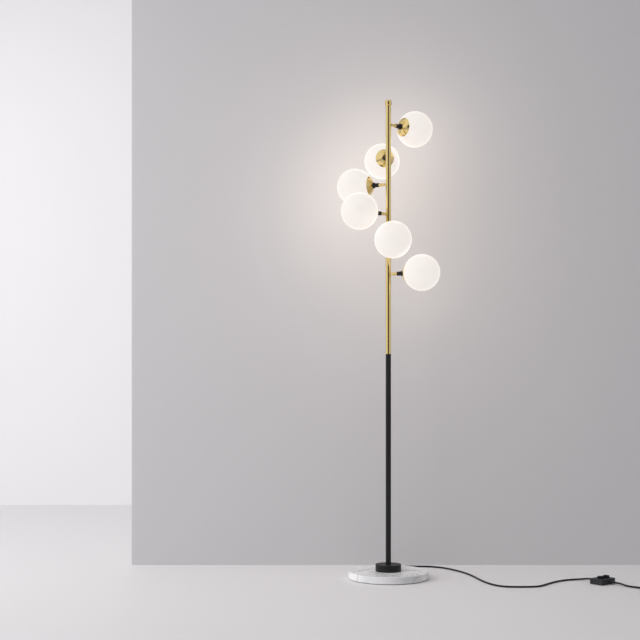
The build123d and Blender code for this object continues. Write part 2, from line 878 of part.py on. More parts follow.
with BuildPart() as switch_glands:
    for sign in (-1, 1):
        plane = across_plane(sign)
        inner_wall = switch_width / 2 - switch_wall
        with BuildSketch(plane):
            with BuildLine():
                Polyline(
                    (inner_wall - switch_gland_flange, 0),
                    (inner_wall - switch_gland_flange, switch_gland_flange_diameter / 2),
                    (inner_wall - slip_clearance, switch_gland_flange_diameter / 2),
                    (inner_wall - slip_clearance, switch_gland_neck_diameter / 2),
                    (switch_width / 2 + slip_clearance, switch_gland_neck_diameter / 2),
                    (switch_width / 2 + slip_clearance, switch_gland_root_diameter / 2),
                    (gland_end, gland_tip_diameter / 2),
                    (gland_end, 0),
                    close=True,
                )
            make_face()
        revolve(axis=Axis(plane.origin, plane.x_dir))

switch_glands.part.label = "switch_glands"
export_step(switch_glands.part, "parts/switch_glands.step")

# ================================================================ cord on the floor
cord_radius = cord_diameter / 2
cord_z = cord_radius + cord_lift


def switch_port(sign, reach):
    """Point on a gland's axis, out from the switch's long centre line."""
    plane = across_plane(sign)
    return tuple(plane.origin + plane.x_dir * reach)


def corner_radii(points):
    """For each corner, 0.45 of the shorter run over the tangent of half the turn."""
    radii = []
    for before, here, after in zip(points, points[1:], points[2:]):
        run_in = Vector(*here) - Vector(*before)
        run_out = Vector(*after) - Vector(*here)
        half_turn = radians(run_in.get_angle(run_out)) / 2
        radii.append(0.45 * min(run_in.length, run_out.length) / tan(half_turn))
    return radii


def report(name, part, length):
    """Prints a swept tube's volume next to its section times its length."""
    section = pi * cord_radius**2 * length
    print(name, "length", round(length), "volume", round(part.volume), "of", round(section))


route_to_switch = [
    (0, gland_tip, gland_axis_height),
    (0, gland_tip + 26, gland_axis_height),
    (10, 238, 5.4),
    (38, 258, cord_z),
    (80, 267, cord_z),
    (128, 266, cord_z),
    (186, 262, cord_z),
    (236, 226, cord_z),
    (274, 166, cord_z),
    (306, 94, cord_z),
    (324, 20, cord_z),
    (338, -62, cord_z),
    (360, -146, cord_z),
    (398, -203, cord_z),
    (458, -208, cord_z),
    (528, -204, cord_z),
    (570, -146, cord_z),
    (618, -88, cord_z),
    (668, -53, cord_z),
    (712, -48, 4.6),
    switch_port(1, gland_end + 22),
    switch_port(1, gland_end),
]

with BuildPart() as cord_to_switch:
    with BuildLine() as switch_path:
        FilletPolyline(*route_to_switch, radius=corner_radii(route_to_switch))
    with BuildSketch(Plane(origin=switch_path.line @ 0, z_dir=switch_path.line % 0)):
        Circle(cord_radius)
    sweep(path=switch_path.line)

cord_to_switch.part.label = "cord_to_switch"
export_step(cord_to_switch.part, "parts/cord_to_switch.step")
print("radii to the switch", [round(r) for r in corner_radii(route_to_switch)])
report("cord_to_switch", cord_to_switch.part, switch_path.wire().length)

# The coil: two layers of half-turn arcs, in and out again by one pitch a turn. Each half turn starts
# and ends on the line through the coil's centre that is square to the heading.
heading = Vector(cos(radians(coil_heading)), sin(radians(coil_heading)), 0)
across = Vector(-heading.Y, heading.X, 0)
coil_centre = Vector(coil_centre_x, coil_centre_y, 0)
coil_pitch = cord_diameter + coil_gap
# the coil's tie passes under it, so the coil lies a little off the floor
coil_floor = cord_z + coil_lift
layer_heights = (coil_floor, coil_floor + coil_pitch)
plug_axis_height = plug_grip_diameter / 2 + plug_rest_gap

radii_in = [coil_outer_radius - coil_pitch / 2 * i for i in range(coil_half_turns_down)]
innermost = coil_outer_radius - coil_pitch / 2 * coil_half_turns_down
radii_out = radii_in[:0:-1]
half_turn_radii = radii_in + [innermost] + radii_out
heights = (
    [layer_heights[0]] * (coil_half_turns_down + 1)
    + [layer_heights[1]] * (coil_half_turns_down)
    + [plug_axis_height]
)
heights = heights[: len(half_turn_radii)] + [plug_axis_height]

stations = [coil_centre - across * coil_outer_radius + Vector(0, 0, heights[0])]
side = 1
place = -coil_outer_radius
for radius, height in zip(half_turn_radii, heights[1:]):
    place += side * 2 * radius
    stations.append(coil_centre + across * place + Vector(0, 0, height))
    side = -side

coil_start = stations[0] - heading * cord_diameter
end_heading = heading * side
coil_end = stations[-1] + end_heading * cord_diameter

with BuildPart() as cord_coil:
    with BuildLine() as coil_path:
        Line(coil_start, stations[0])
        direction = heading
        for begin, finish in zip(stations, stations[1:]):
            middle = (begin + finish) / 2 + direction * ((finish - begin).length / 2)
            ThreePointArc(begin, middle, finish)
            direction = direction * -1
        Line(stations[-1], coil_end)
    with BuildSketch(Plane(origin=coil_start, z_dir=heading)):
        Circle(cord_radius)
    sweep(path=coil_path.line)

cord_coil.part.label = "cord_coil"
export_step(cord_coil.part, "parts/cord_coil.step")
report("cord_coil", cord_coil.part, coil_path.wire().length)

# least gap of the coil to itself, measured between points that are over a third of a turn apart
coil_wire = coil_path.wire()
coil_steps = 480
coil_points = [coil_wire @ (i / coil_steps) for i in range(coil_steps + 1)]
apart = int(innermost * 2 / coil_wire.length * coil_steps)
least = min(
    (coil_points[i] - coil_points[j]).length
    for i in range(coil_steps + 1)
    for j in range(i + apart, coil_steps + 1)
)
print("coil half turns", len(half_turn_radii), "least gap", round(least - cord_diameter, 3))

route_to_coil = [
    switch_port(-1, gland_end),
    switch_port(-1, gland_end + 22),
    (846, -200, 4.6),
    tuple(coil_start - heading * 38),
    tuple(coil_start),
]

with BuildPart() as cord_to_coil:
    with BuildLine() as lead_out:
        FilletPolyline(*route_to_coil, radius=corner_radii(route_to_coil))
    with BuildSketch(Plane(origin=lead_out.line @ 0, z_dir=lead_out.line % 0)):
        Circle(cord_radius)
    sweep(path=lead_out.line)

cord_to_coil.part.label = "cord_to_coil"
export_step(cord_to_coil.part, "parts/cord_to_coil.step")
print("radii to the coil", [round(r) for r in corner_radii(route_to_coil)])
report("cord_to_coil", cord_to_coil.part, lead_out.wire().length)

# ================================================================ plug
plug_plane = Plane(
    origin=coil_end,
    x_dir=end_heading,
    z_dir=end_heading.cross(Vector(0, 0, 1)),
)
plug_face = Plane(origin=coil_end + end_heading * plug_length, x_dir=(0, 0, 1), z_dir=end_heading)

with BuildPart() as plug_body:
    with BuildSketch(plug_plane):
        with BuildLine():
            Polyline(
                (plug_length, 0),
                (0, 0),
                (0, gland_tip_diameter / 2),
                (plug_relief_length, plug_relief_diameter / 2),
                (plug_relief_length, plug_neck_diameter / 2),
                (plug_waist_position, plug_waist_diameter / 2),
                (plug_grip_start, plug_grip_diameter / 2),
                (plug_grip_end, plug_grip_diameter / 2),
                (plug_length, plug_face_diameter / 2),
                (plug_length, 0),
            )
        make_face()
    revolve(axis=Axis(coil_end, end_heading))
    rims = plug_body.edges().filter_by(GeomType.CIRCLE)
    fillet(rims.sort_by(lambda edge: (edge.arc_center - coil_end).length)[-1], plug_edge_round)
    with BuildSketch(plug_face):
        with GridLocations(0, plug_pin_spacing, 1, 2):
            Circle(plug_pin_root_diameter / 2 + pin_clearance)
    extrude(amount=-plug_pin_root, mode=Mode.SUBTRACT)

plug_body.part.label = "plug_body"
export_step(plug_body.part, "parts/plug_body.step")

with BuildPart() as plug_pins:
    with BuildSketch(plug_face):
        with GridLocations(0, plug_pin_spacing, 1, 2):
            Circle(plug_pin_diameter / 2)
    extrude(amount=plug_pin_length)
    tips = plug_pins.edges().filter_by(GeomType.CIRCLE)
    fillet(
        tips.group_by(lambda edge: round((edge.arc_center - coil_end).length, 1))[-1],
        plug_pin_tip_round,
    )
    # the thinner root of each pin, held in the body
    with BuildSketch(plug_face):
        with GridLocations(0, plug_pin_spacing, 1, 2):
            Circle(plug_pin_root_diameter / 2)
    extrude(amount=-plug_pin_root)

plug_pins.part.label = "plug_pins"
export_step(plug_pins.part, "parts/plug_pins.step")

print("coil end", coil_end, "plug face", plug_face.origin)
print("glass centre", round(glass_centre, 2), "dish rim", round(dish_rim, 2))
print("gland end", switch_port(1, gland_end), switch_port(-1, gland_end))
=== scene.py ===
# %% [markdown]
# # Tree floor lamp
# A round marble foot, a pole that is black below and polished brass above, and six opal globes that
# wind round it. The rigid parts come packed from the CAD model at their real size. This script gives
# them their finishes, lays the mains cord, ties its coil, and lights the lamp as the photograph does.

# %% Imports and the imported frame
import math

import bpy
from mathutils import Matrix, Vector


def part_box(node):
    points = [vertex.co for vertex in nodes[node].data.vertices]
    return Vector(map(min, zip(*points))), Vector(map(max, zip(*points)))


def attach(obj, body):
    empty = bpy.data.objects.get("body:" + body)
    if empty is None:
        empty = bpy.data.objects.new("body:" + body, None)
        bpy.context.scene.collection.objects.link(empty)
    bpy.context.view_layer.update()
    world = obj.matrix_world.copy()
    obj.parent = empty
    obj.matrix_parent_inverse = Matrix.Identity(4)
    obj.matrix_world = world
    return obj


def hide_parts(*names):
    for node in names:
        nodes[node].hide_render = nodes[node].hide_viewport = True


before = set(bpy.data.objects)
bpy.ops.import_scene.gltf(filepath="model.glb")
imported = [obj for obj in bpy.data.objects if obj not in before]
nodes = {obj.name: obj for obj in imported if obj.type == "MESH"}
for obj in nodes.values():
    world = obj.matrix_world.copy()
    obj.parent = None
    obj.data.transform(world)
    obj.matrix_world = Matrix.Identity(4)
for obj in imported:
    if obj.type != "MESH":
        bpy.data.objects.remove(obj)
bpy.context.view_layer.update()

# %% [markdown]
# ## The camera
# A lamp is photographed with the camera level, so that its pole stays upright in the picture, and the
# lens is shifted up instead of tilted. Distance, height and lens were fitted to the round base, the
# pole and the globes, so they are plain numbers here.

# %% Camera at the photograph's place
IMAGE_SIDE = 640
FOCAL_PIXELS, HORIZON_ROW = 1148.7, 387.7
SENSOR_WIDTH = 36.0
CAMERA_PLACE = (-0.2573, -4.325, 0.7174)
camera_data = bpy.data.cameras.new("photo_camera")
camera_data.sensor_width = SENSOR_WIDTH
camera_data.lens = SENSOR_WIDTH * FOCAL_PIXELS / IMAGE_SIDE
camera_data.shift_y = (HORIZON_ROW - IMAGE_SIDE / 2) / IMAGE_SIDE
camera = bpy.data.objects.new("photo_camera", camera_data)
camera.location = CAMERA_PLACE
camera.rotation_euler = (math.radians(90), 0, 0)
bpy.context.scene.collection.objects.link(camera)
bpy.context.scene.camera = camera
print("lens", round(camera_data.lens, 2), "mm, shift", round(camera_data.shift_y, 4))

# %% [markdown]
# ## The cord
# A mains cord is a stiff, round, black sheath 6.8 mm thick that lies where it falls. A NURBS curve
# through a few listed points bends as smoothly as the sheath does, and Blender gives it its
# thickness, so the whole cord stays one unbroken spline that can be measured. The thickness is set as
# the points' radius, because Blender reckons a curve's bounding box with that radius.

# %% A helper that lays a cord along its points
MM = 0.001
CORD_THICKNESS = 6.8 * MM
AIR_UNDER_CORD = 0.1 * MM
ROUNDNESS, STEPS_PER_POINT = 7, 10


def lay_cord(name, points):
    """A round cord along these control points, in mm."""
    curve = bpy.data.curves.new(name, "CURVE")
    curve.dimensions = "3D"
    curve.bevel_depth = 1.0
    curve.bevel_resolution = ROUNDNESS
    curve.use_fill_caps = True
    curve.resolution_u = STEPS_PER_POINT
    spline = curve.splines.new("NURBS")
    spline.points.add(len(points) - 1)
    for control, point in zip(spline.points, points):
        control.co = (*(MM * value for value in point), 1.0)
        control.radius = CORD_THICKNESS / 2
    spline.order_u = 3
    spline.use_endpoint_u = True
    piece = bpy.data.objects.new(name, curve)
    bpy.context.scene.collection.objects.link(piece)
    return piece


# %% [markdown]
# The first stretch leaves the gland in the back edge of the marble, sinks to the floor, swings out
# behind the base and back past it, and climbs into the foot switch.

# %% From the base to the foot switch
z = (CORD_THICKNESS / 2 + AIR_UNDER_CORD) / MM  # the cord's axis where it lies on the floor
BASE_GLAND_HEIGHT, SWITCH_GLAND_HEIGHT = 8.75, 9.0
GLAND_SHIFT, GLAND_MOUTH, STRAIGHT_AFTER_GLAND = 10.0, 48.0, 22.0
switch_centre, switch_turn = Vector((777.0, -120.0)), math.radians(40.0)
along_switch = Vector((math.cos(switch_turn), math.sin(switch_turn)))
across_switch = Vector((-math.sin(switch_turn), math.cos(switch_turn)))


def switch_port(side, reach):
    """Point on the axis of a cord gland of the switch, out from the box's middle line, in mm."""
    place = switch_centre + along_switch * GLAND_SHIFT + across_switch * side * reach
    return (place.x, place.y, SWITCH_GLAND_HEIGHT)


route_to_switch = [
    (0, 180, BASE_GLAND_HEIGHT), (0, 206, BASE_GLAND_HEIGHT), (10, 238, 5.4), (38, 258, z),
    (80, 267, z), (128, 266, z), (186, 262, z), (236, 226, z), (274, 166, z), (306, 94, z),
    (324, 20, z), (338, -62, z), (360, -146, z), (398, -203, z), (458, -208, z), (528, -204, z),
    (570, -146, z), (618, -88, z), (668, -53, z), (712, -48, 4.6),
    switch_port(1, GLAND_MOUTH + STRAIGHT_AFTER_GLAND), switch_port(1, GLAND_MOUTH),
]
cord_to_switch = lay_cord("cord_lamp_to_switch", route_to_switch)
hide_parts("cord_to_switch")
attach(cord_to_switch, "lamp_frame")

# %% [markdown]
# The second stretch runs on past the edge of the picture. What is left of it is put away as one would
# in a cupboard: wound into a flat coil in two layers, with the plug beside it. The coil's turns are
# half circles whose centres lie on one line, so each one runs smoothly into the next.

# %% From the switch through the coil to the plug
TURN_PITCH, OUTER_RADIUS, COIL_LIFT, PLUG_HEIGHT = 7.4, 44.6, 0.8, 18.6
STRAIGHT_BEFORE_COIL, POINTS_PER_HALF_TURN = 38.0, 8
coil_centre, coil_turn = Vector((947.0, -230.0, 0.0)), math.radians(-45)
heading = Vector((math.cos(coil_turn), math.sin(coil_turn), 0.0))
sideways = Vector((-heading.y, heading.x, 0.0))
half_turns = [OUTER_RADIUS - TURN_PITCH / 2 * i for i in (0, 1, 2, 3, 4, 3, 2, 1)]
levels = [z + COIL_LIFT] * 5 + [z + COIL_LIFT + TURN_PITCH] * 3 + [PLUG_HEIGHT]


def coil_points():
    """Control points of the coil and the place where it ends, in mm."""
    points, place, side, forward = [], -OUTER_RADIUS, 1, heading
    here = coil_centre + sideways * place + Vector((0, 0, levels[0]))
    for radius, level in zip(half_turns, levels[1:]):
        place += side * 2 * radius
        there = coil_centre + sideways * place + Vector((0, 0, level))
        middle, reach = (here + there) / 2, (there - here) / 2
        step = math.pi / POINTS_PER_HALF_TURN
        outset = 1 / math.cos(step / 2)
        for i in range(POINTS_PER_HALF_TURN):
            angle = step * (i + 0.5)
            swing = forward * reach.length * math.sin(angle) - reach * math.cos(angle)
            points.append(middle + swing * outset)
        here, side, forward = there, -side, -forward
    return points, here + heading * CORD_THICKNESS / MM


wound, coil_end = coil_points()
coil_start = coil_centre - sideways * OUTER_RADIUS + Vector((0, 0, levels[0]))
coil_start -= heading * CORD_THICKNESS / MM
route_to_plug = [
    switch_port(-1, GLAND_MOUTH), switch_port(-1, GLAND_MOUTH + STRAIGHT_AFTER_GLAND),
    (846, -200, 4.6), coil_start - heading * STRAIGHT_BEFORE_COIL, *wound, coil_end,
]
cord_to_plug = lay_cord("cord_switch_to_plug", route_to_plug)
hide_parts("cord_to_coil", "cord_coil")
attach(cord_to_plug, "lamp_frame")

# %% [markdown]
# A cord that is put away is tied. A thin strap of hook-and-loop tape goes once round the bundle where
# four strands lie side by side and on each other, and its end overlaps where it is pressed down.

# %% The tie round the coil
STRAP_WIDTH, STRAP_THICKNESS, STRAP_SLACK, LAYER_GAP = 12.0, 0.7, 0.06, 0.05
STRAP_STEPS, OVERLAP_STEPS, RISE_STEPS = 72, 22, 6
STRAP_START = math.radians(60)
strands = [(half_turns[i], levels[i + 1]) for i in (0, 2, 4, 6)]


def strap_reach(angle, grow):
    """The strap's support distance in a direction: how far the four strands reach, and a bit more."""
    out = Vector((math.cos(angle), math.sin(angle)))
    return max(out.dot(Vector(strand)) for strand in strands) + CORD_THICKNESS / MM / 2 + grow


def strap_point(angle, grow):
    """Where the strap's middle line runs at this angle, as the corner of two tangent lines."""
    small = 0.0005
    here, there = strap_reach(angle, grow), strap_reach(angle + small, grow)
    slope = (there - here) / small
    return (here * math.cos(angle) - slope * math.sin(angle),
            here * math.sin(angle) + slope * math.cos(angle))


verts, faces = [], []
for i in range(STRAP_STEPS + OVERLAP_STEPS + 1):
    angle = STRAP_START - 2 * math.pi * i / STRAP_STEPS
    risen = min(max((i - STRAP_STEPS + RISE_STEPS) / RISE_STEPS, 0.0), 1.0)
    second_layer = risen * (STRAP_THICKNESS + LAYER_GAP)
    for grow in (0.0, STRAP_THICKNESS):
        x, y = strap_point(angle, STRAP_SLACK + grow + second_layer)
        for edge in (-STRAP_WIDTH / 2, STRAP_WIDTH / 2):
            verts.append(MM * (coil_centre + sideways * x + heading * edge + Vector((0, 0, y))))
    if i:
        a, b = 4 * (i - 1), 4 * i
        faces += [(a, a + 1, b + 1, b), (a + 2, b + 2, b + 3, a + 3),
                  (a, b, b + 2, a + 2), (a + 1, a + 3, b + 3, b + 1)]
faces += [(0, 2, 3, 1), (len(verts) - 4, len(verts) - 3, len(verts) - 1, len(verts) - 2)]
strap_mesh = bpy.data.meshes.new("coil_tie")
strap_mesh.from_pydata(verts, [], faces)
coil_tie = bpy.data.objects.new("coil_tie", strap_mesh)
bpy.context.scene.collection.objects.link(coil_tie)
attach(coil_tie, "lamp_frame")
print("tie's lowest point", round(min(vert.z for vert in verts) / MM, 2), "mm over the floor")

# %% [markdown]
# ## Finishes
# Every finish of the lamp is a Principled shader with noise in its colour, roughness or bump, because
# no real surface is one flat value. The small helpers below only add nodes and links, so that each
# material reads as a short list of what it is.

# %% Helpers for node materials
def new_material(name):
    """An empty node material with its Principled shader and its node tree."""
    material = bpy.data.materials.new(name)
    material.use_nodes = True
    tree = material.node_tree
    return material, tree, tree.nodes["Principled BSDF"]


def set_values(node, **values):
    """Sets input sockets of a node by name, with _ for a space."""
    for name, value in values.items():
        node.inputs[name.replace("_", " ")].default_value = value
    return node


def add(tree, kind, **values):
    """Adds a node and sets its input sockets."""
    return set_values(tree.nodes.new(kind), **values)


def object_place(tree, turn=(0, 0, 0)):
    """The point on the object, in metres, turned: the socket to read patterns from."""
    place = tree.nodes.new("ShaderNodeTexCoord")
    mapping = add(tree, "ShaderNodeMapping", Rotation=turn)
    tree.links.new(place.outputs["Object"], mapping.inputs["Vector"])
    return mapping.outputs["Vector"]


def noise(tree, place, scale, detail=3.0, roughness=0.5):
    """Noise of this many cells a metre, read at a place."""
    cloud = add(tree, "ShaderNodeTexNoise", Scale=scale, Detail=detail, Roughness=roughness)
    tree.links.new(place, cloud.inputs["Vector"])
    return cloud.outputs["Fac"]


def to_range(tree, value, low, high, start=0.0, end=1.0):
    """Maps a value between start and end to between low and high."""
    node = add(tree, "ShaderNodeMapRange", From_Min=start, From_Max=end, To_Min=low, To_Max=high)
    tree.links.new(value, node.inputs["Value"])
    return node.outputs["Result"]


def mix_colours(tree, share, first, second):
    """A colour that goes from first to second as share goes from 0 to 1."""
    node = tree.nodes.new("ShaderNodeMix")
    node.data_type = "RGBA"
    tree.links.new(share, node.inputs["Factor"])
    for socket, colour in ((node.inputs[6], first), (node.inputs[7], second)):
        if isinstance(colour, tuple):
            socket.default_value = (*colour, 1.0)
        else:
            tree.links.new(colour, socket)
    return node.outputs[2]


def raise_surface(tree, shader, height, depth, strength=1.0):
    """Bumps the surface by a height pattern, this many mm deep."""
    bump = add(tree, "ShaderNodeBump", Strength=strength, Distance=depth * MM)
    tree.links.new(height, bump.inputs["Height"])
    tree.links.new(bump.outputs["Normal"], shader.inputs["Normal"])


def dress(material, *names):
    """Gives a CAD node this finish in all its material slots."""
    for name in names:
        slots = nodes[name].material_slots
        if not slots:
            nodes[name].data.materials.append(material)
        for slot in slots:
            slot.material = material


lights = range(1, 7)

# %% [markdown]
# ### Polished brass
# The upper tube, the arms and the dishes are turned or spun brass, polished and lacquered. A mirror
# finish shows what stands round it, so the colour is strong and the roughness low, with a faint cloud
# of wiping marks in the roughness.

# %% Polished brass
polished_brass, tree, shader = new_material("polished_brass")
place = object_place(tree)
set_values(shader, Metallic=1.0, Coat_Weight=0.25, Coat_Roughness=0.05)
wiped = noise(tree, place, 60.0, 4.0)
tree.links.new(mix_colours(tree, wiped, (0.90, 0.71, 0.32), (0.84, 0.64, 0.26)),
               shader.inputs["Base Color"])
tree.links.new(to_range(tree, noise(tree, place, 260.0, 5.0), 0.04, 0.11, 0.35, 0.65),
               shader.inputs["Roughness"])
raise_surface(tree, shader, noise(tree, place, 22.0, 2.0), 0.06, 0.5)
dress(polished_brass, "upper_tube", "tube_coupling", "finial",
      *[f"arm_{k}" for k in lights], *[f"dish_{k}" for k in lights])

# %% [markdown]
# ### Satin black paint
# The lower tube, the drum and the lampholder shells are powder-coated steel: deep black, half matt,
# with the fine orange-peel grain that powder leaves.

# %% Satin black powder coat
black_paint, tree, shader = new_material("satin_black_powder_coat")
place = object_place(tree)
grain = noise(tree, place, 1400.0, 3.0)
tree.links.new(mix_colours(tree, noise(tree, place, 30.0), (0.006, 0.006, 0.0065),
                           (0.011, 0.0105, 0.0115)), shader.inputs["Base Color"])
tree.links.new(to_range(tree, grain, 0.40, 0.52), shader.inputs["Roughness"])
set_values(shader, Specular_IOR_Level=0.32)
raise_surface(tree, shader, grain, 0.04, 0.35)
dress(black_paint, "base_collar", "lower_tube", *[f"lamp_holder_{k}" for k in lights])

# %% [markdown]
# ### White marble
# The base is a slab of white marble with soft grey clouds and a few thin veins, honed to a soft
# shine. Distorted noise gives the clouds, and the thin veins are where a second noise crosses its
# middle value.

# %% Marble
marble, tree, shader = new_material("white_marble")
place = object_place(tree, turn=(0.3, 0.2, 0.5))
bent = tree.nodes.new("ShaderNodeVectorMath")
bent.operation = "MULTIPLY_ADD"
warp = add(tree, "ShaderNodeTexNoise", Scale=7.0, Detail=2.0)
tree.links.new(place, warp.inputs["Vector"])
tree.links.new(warp.outputs["Color"], bent.inputs[0])
bent.inputs[1].default_value = (0.12, 0.12, 0.12)
tree.links.new(place, bent.inputs[2])
clouds = noise(tree, bent.outputs["Vector"], 9.0, 3.0, 0.5)
vein_noise = noise(tree, bent.outputs["Vector"], 5.0, 3.0, 0.5)
vein = tree.nodes.new("ShaderNodeMath")
vein.operation = "SUBTRACT"
tree.links.new(vein_noise, vein.inputs[0])
vein.inputs[1].default_value = 0.5
vein_near = tree.nodes.new("ShaderNodeMath")
vein_near.operation = "ABSOLUTE"
tree.links.new(vein.outputs[0], vein_near.inputs[0])
vein_line = to_range(tree, vein_near.outputs[0], 0.5, 0.0, 0.0, 0.03)
stone = mix_colours(tree, to_range(tree, clouds, 0.0, 0.8, 0.45, 0.75), (0.86, 0.86, 0.86),
                    (0.58, 0.585, 0.6))
tree.links.new(mix_colours(tree, vein_line, stone, (0.42, 0.425, 0.44)),
               shader.inputs["Base Color"])
tree.links.new(to_range(tree, noise(tree, place, 180.0), 0.22, 0.34), shader.inputs["Roughness"])
set_values(shader, Coat_Weight=0.15, Coat_Roughness=0.12)
dress(marble, "marble_base")

# %% [markdown]
# ### Opal glass, lit
# Opal glass is white through and through, so a lit globe glows evenly, its warmth changing a little at
# random. The shader gives off most of its light itself, and a clear glaze over it keeps the soft
# window of light that glass shows.

# %% Lit opal glass
opal_glass, tree, shader = new_material("lit_opal_glass")
place = object_place(tree)
set_values(shader, Base_Color=(0.14, 0.137, 0.134, 1.0), Roughness=0.22, Emission_Strength=0.78)
milk = noise(tree, place, 14.0, 3.0)
tree.links.new(mix_colours(tree, to_range(tree, milk, 0.0, 1.0, 0.35, 0.65),
                           (1.0, 0.925, 0.865), (1.0, 0.945, 0.895)),
               shader.inputs["Emission Color"])
dress(opal_glass, *[f"globe_{k}" for k in lights])

# %% [markdown]
# ### Black plastics and rubber
# The foot switch is moulded with a spark-eroded grain, its cord is smoother soft vinyl, and the pad
# under the marble is dull rubber. They differ in how they break up a highlight more than in colour.

# %% Moulded plastic, vinyl sheath, rubber
def black_plastic(name, colour, shine, grain_scale, grain_depth, mirror=0.3):
    """A near-black moulded finish with its own grain, this many mm deep."""
    material, tree, shader = new_material(name)
    place = object_place(tree)
    grain = noise(tree, place, grain_scale, 4.0)
    lighter = tuple(value * 1.5 for value in colour)
    tree.links.new(mix_colours(tree, noise(tree, place, 90.0), colour, lighter),
                   shader.inputs["Base Color"])
    tree.links.new(to_range(tree, grain, shine - 0.06, shine + 0.06), shader.inputs["Roughness"])
    set_values(shader, Specular_IOR_Level=mirror)
    raise_surface(tree, shader, grain, grain_depth, 0.5)
    return material


grained_plastic = black_plastic("grained_switch_plastic", (0.019, 0.019, 0.0215), 0.48, 2600.0, 0.06)
plug_plastic = black_plastic("smooth_plug_plastic", (0.010, 0.010, 0.011), 0.36, 1200.0, 0.02)
vinyl_sheath = black_plastic("vinyl_cord_sheath", (0.007, 0.007, 0.008), 0.42, 420.0, 0.03)
dull_rubber = black_plastic("dull_rubber", (0.02, 0.02, 0.02), 0.8, 900.0, 0.08)
dark_pedal = black_plastic("dark_pedal_plastic", (0.004, 0.004, 0.0045), 0.5, 1800.0, 0.04, 0.2)
dress(grained_plastic, "switch_base", "switch_cover", "switch_glands", "switch_contacts")
dress(dark_pedal, "switch_pedal_1", "switch_pedal_2")
dress(plug_plastic, "plug_body", "wire_splice")
dress(vinyl_sheath, "cord_gland", "cord_to_switch", "cord_to_coil", "cord_coil")
dress(dull_rubber, "foot_pad", "switch_feet")
for cord in (cord_to_switch, cord_to_plug):
    cord.data.materials.append(vinyl_sheath)
strap_weave = black_plastic("woven_strap", (0.02, 0.02, 0.022), 0.75, 3000.0, 0.12)
coil_tie.data.materials.append(strap_weave)

# %% [markdown]
# ### Ribs and grips
# A moulded strain relief has rings, so that it bends evenly with its cord, and a foot pedal has raised
# bars, so that a shoe doesn't slip. Both are one small shape repeated along a line, and that is what
# Geometry Nodes do best: one tree sets copies of a ring or a bar on the points of a line, and its
# inputs say how many, how far apart and how large.

# %% A tree that sets rings or bars in a row
RING_CORNERS, ROUND_CORNERS = 48, 12
ROW_SIZES = (("Count", "NodeSocketInt"), ("Spacing", "NodeSocketFloat"),
             ("Reach", "NodeSocketFloat"), ("Thickness", "NodeSocketFloat"),
             ("Last Size", "NodeSocketFloat"), ("Finish", "NodeSocketMaterial"))


def row_tree(name, ring):
    """A tree for rings of radius Reach, or for bars that reach that far to both sides."""
    tree = bpy.data.node_groups.new(name, "GeometryNodeTree")
    for label, kind in ROW_SIZES:
        tree.interface.new_socket(label, in_out="INPUT", socket_type=kind)
    tree.interface.new_socket("Geometry", in_out="OUTPUT", socket_type="NodeSocketGeometry")
    node = tree.nodes.new
    link = tree.links.new
    sizes = node("NodeGroupInput").outputs

    step, line = node("ShaderNodeCombineXYZ"), node("GeometryNodeMeshLine")
    link(sizes["Spacing"], step.inputs["Z"])
    link(sizes["Count"], line.inputs["Count"])
    link(step.outputs["Vector"], line.inputs["Offset"])

    if ring:
        spine = node("GeometryNodeCurvePrimitiveCircle")
        spine.inputs["Resolution"].default_value = RING_CORNERS
        link(sizes["Reach"], spine.inputs["Radius"])
    else:
        spine = node("GeometryNodeCurvePrimitiveLine")
        for end, sign in (("Start", -1.0), ("End", 1.0)):
            reach, corner = node("ShaderNodeMath"), node("ShaderNodeCombineXYZ")
            reach.operation = "MULTIPLY"
            reach.inputs[1].default_value = sign
            link(sizes["Reach"], reach.inputs[0])
            link(reach.outputs["Value"], corner.inputs["X"])
            link(corner.outputs["Vector"], spine.inputs[end])
    profile, solid = node("GeometryNodeCurvePrimitiveCircle"), node("GeometryNodeCurveToMesh")
    profile.inputs["Resolution"].default_value = ROUND_CORNERS
    solid.inputs["Fill Caps"].default_value = True
    link(sizes["Thickness"], profile.inputs["Radius"])
    link(spine.outputs["Curve"], solid.inputs["Curve"])
    link(profile.outputs["Curve"], solid.inputs["Profile Curve"])

    last, size = node("ShaderNodeMath"), node("ShaderNodeMapRange")
    last.operation = "SUBTRACT"
    last.inputs[1].default_value = 1.0
    link(sizes["Count"], last.inputs[0])
    link(node("GeometryNodeInputIndex").outputs["Index"], size.inputs["Value"])
    link(last.outputs["Value"], size.inputs["From Max"])
    size.inputs["To Min"].default_value = 1.0
    link(sizes["Last Size"], size.inputs["To Max"])

    copies, real = node("GeometryNodeInstanceOnPoints"), node("GeometryNodeRealizeInstances")
    link(line.outputs["Mesh"], copies.inputs["Points"])
    link(solid.outputs["Mesh"], copies.inputs["Instance"])
    link(size.outputs["Result"], copies.inputs["Scale"])
    link(copies.outputs["Instances"], real.inputs["Geometry"])
    paint = node("GeometryNodeSetMaterial")
    link(real.outputs["Geometry"], paint.inputs["Geometry"])
    link(sizes["Finish"], paint.inputs["Material"])
    link(paint.outputs["Geometry"], node("NodeGroupOutput").inputs["Geometry"])
    return tree


ring_row, bar_row = row_tree("ring_row", True), row_tree("bar_row", False)


